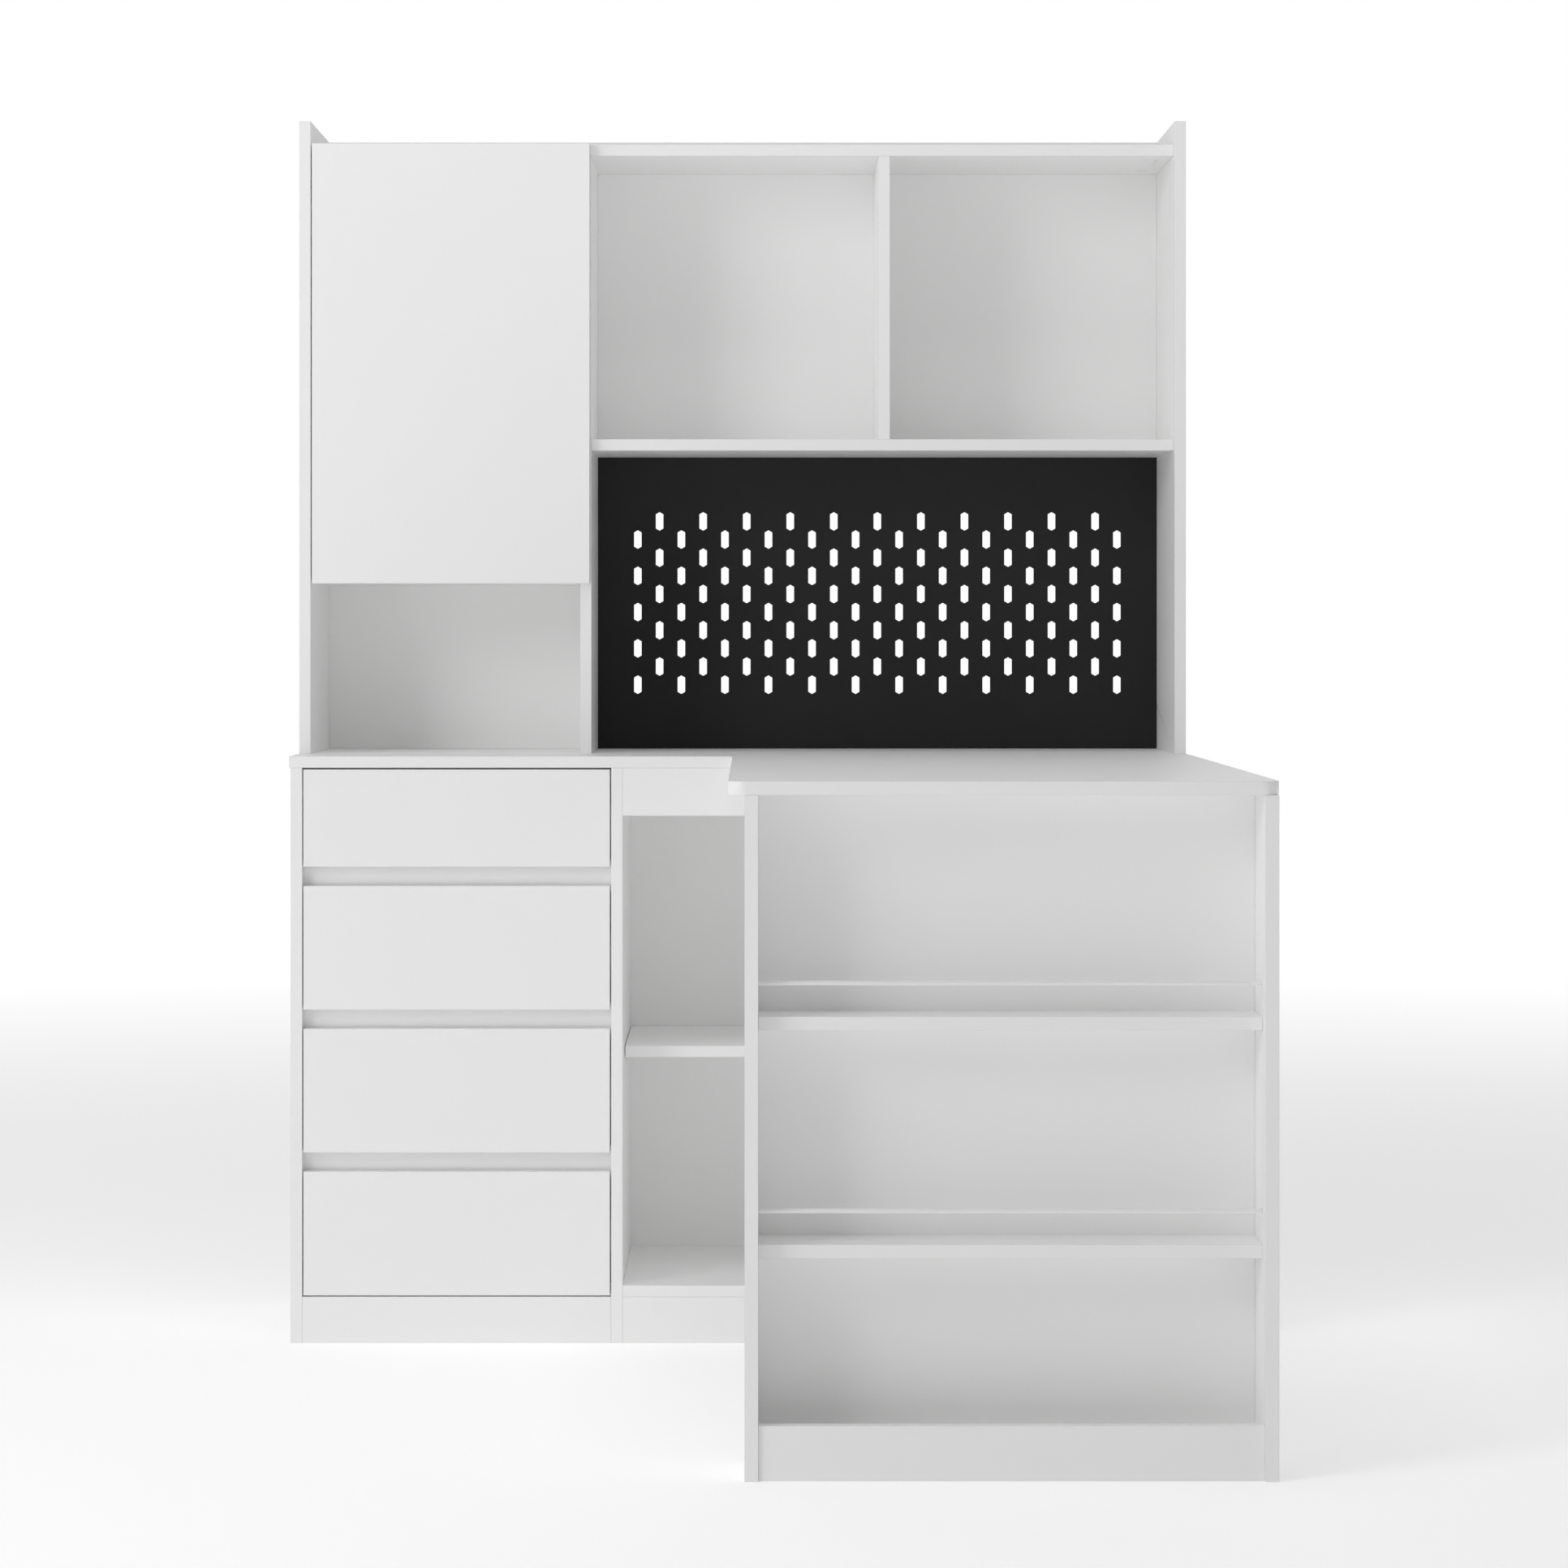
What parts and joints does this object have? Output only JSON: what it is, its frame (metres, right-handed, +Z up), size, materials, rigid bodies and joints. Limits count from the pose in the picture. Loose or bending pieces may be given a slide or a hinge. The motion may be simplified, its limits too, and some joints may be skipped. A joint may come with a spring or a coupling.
{
  "type": "corner desk",
  "caption": "L-shaped corner desk with a drawer stack, open cubby and end rack below, and a hutch with a door, cubbies and a slotted metal pegboard above.",
  "frame": {"origin": "on the floor under the middle of the bounding box", "axes": "+Z up, the fronts face -Y, +X to the right seen from the front"},
  "size_m": [1.174, 1.2, 1.595],
  "materials": {
    "white_laminate": "white melamine-faced board, satin",
    "white_hardboard": "white painted hardboard, matt",
    "black_sheet_metal": "black powder coat, fine texture",
    "white_rod": "white powder coat",
    "runner_steel": "zinc plated, satin",
    "plated_steel": "nickel plated, satin",
    "beech": "bare beech"
  },
  "bodies": {
    "carcass": {"base_back": "white_laminate", "base_left_side": "white_laminate", "base_partition": "white_laminate", "base_right_side": "white_laminate", "cabinet_runners": "runner_steel", "cam_bolts": "plated_steel", "cam_locks": "plated_steel", "cubby_apron": "white_laminate", "cubby_bottom": "white_laminate", "cubby_plinth": "white_laminate", "cubby_shelf": "white_laminate", "cupboard_bottom": "white_laminate", "dowels": "beech", "drawer_bay_bottom": "white_laminate", "drawer_bay_plinth": "white_laminate", "finger_rails": "white_laminate", "gallery_rail": "white_laminate", "guard_rods": "white_rod", "hinge_arms": "plated_steel", "hutch_back_left": "white_laminate", "hutch_back_right": "white_laminate", "hutch_divider": "white_laminate", "hutch_left_side": "white_laminate", "hutch_mid_shelf": "white_laminate", "hutch_partition": "white_laminate", "hutch_right_side": "white_laminate", "hutch_top": "white_laminate", "pegboard": "black_sheet_metal", "pegboard_screws": "plated_steel", "rack_back": "white_laminate", "rack_bottom": "white_laminate", "rack_left_panel": "white_laminate", "rack_plinth": "white_laminate", "rack_right_panel": "white_laminate", "rack_shelf_lower": "white_laminate", "rack_shelf_upper": "white_laminate", "shelf_pins": "plated_steel", "worktop": "white_laminate"},
    "drawer_1": {"drawer_1_back": "white_laminate", "drawer_1_bottom": "white_hardboard", "drawer_1_front": "white_laminate", "drawer_1_sides": "white_laminate", "drawer_1_sliders": "runner_steel"},
    "drawer_2": {"drawer_2_back": "white_laminate", "drawer_2_bottom": "white_hardboard", "drawer_2_front": "white_laminate", "drawer_2_sides": "white_laminate", "drawer_2_sliders": "runner_steel"},
    "drawer_3": {"drawer_3_back": "white_laminate", "drawer_3_bottom": "white_hardboard", "drawer_3_front": "white_laminate", "drawer_3_sides": "white_laminate", "drawer_3_sliders": "runner_steel"},
    "drawer_4": {"drawer_4_back": "white_laminate", "drawer_4_bottom": "white_hardboard", "drawer_4_front": "white_laminate", "drawer_4_sides": "white_laminate", "drawer_4_sliders": "runner_steel"},
    "door": {"door": "white_laminate", "hinge_cups": "plated_steel"}
  },
  "joints": [
    {"name": "drawer_1_slide", "type": "slide", "parent": "carcass", "child": "drawer_1", "axis": [0, -1, 0], "range_m": [0, 0.22]},
    {"name": "drawer_2_slide", "type": "slide", "parent": "carcass", "child": "drawer_2", "axis": [0, -1, 0], "range_m": [0, 0.22]},
    {"name": "drawer_3_slide", "type": "slide", "parent": "carcass", "child": "drawer_3", "axis": [0, -1, 0], "range_m": [0, 0.22]},
    {"name": "drawer_4_slide", "type": "slide", "parent": "carcass", "child": "drawer_4", "axis": [0, -1, 0], "range_m": [0, 0.22]},
    {"name": "door_hinge", "type": "hinge", "parent": "carcass", "child": "door", "pos_m": [-0.5685, 0.35, 1.2755], "axis": [0, 0, -1], "range_deg": [0, 100]}
  ]
}
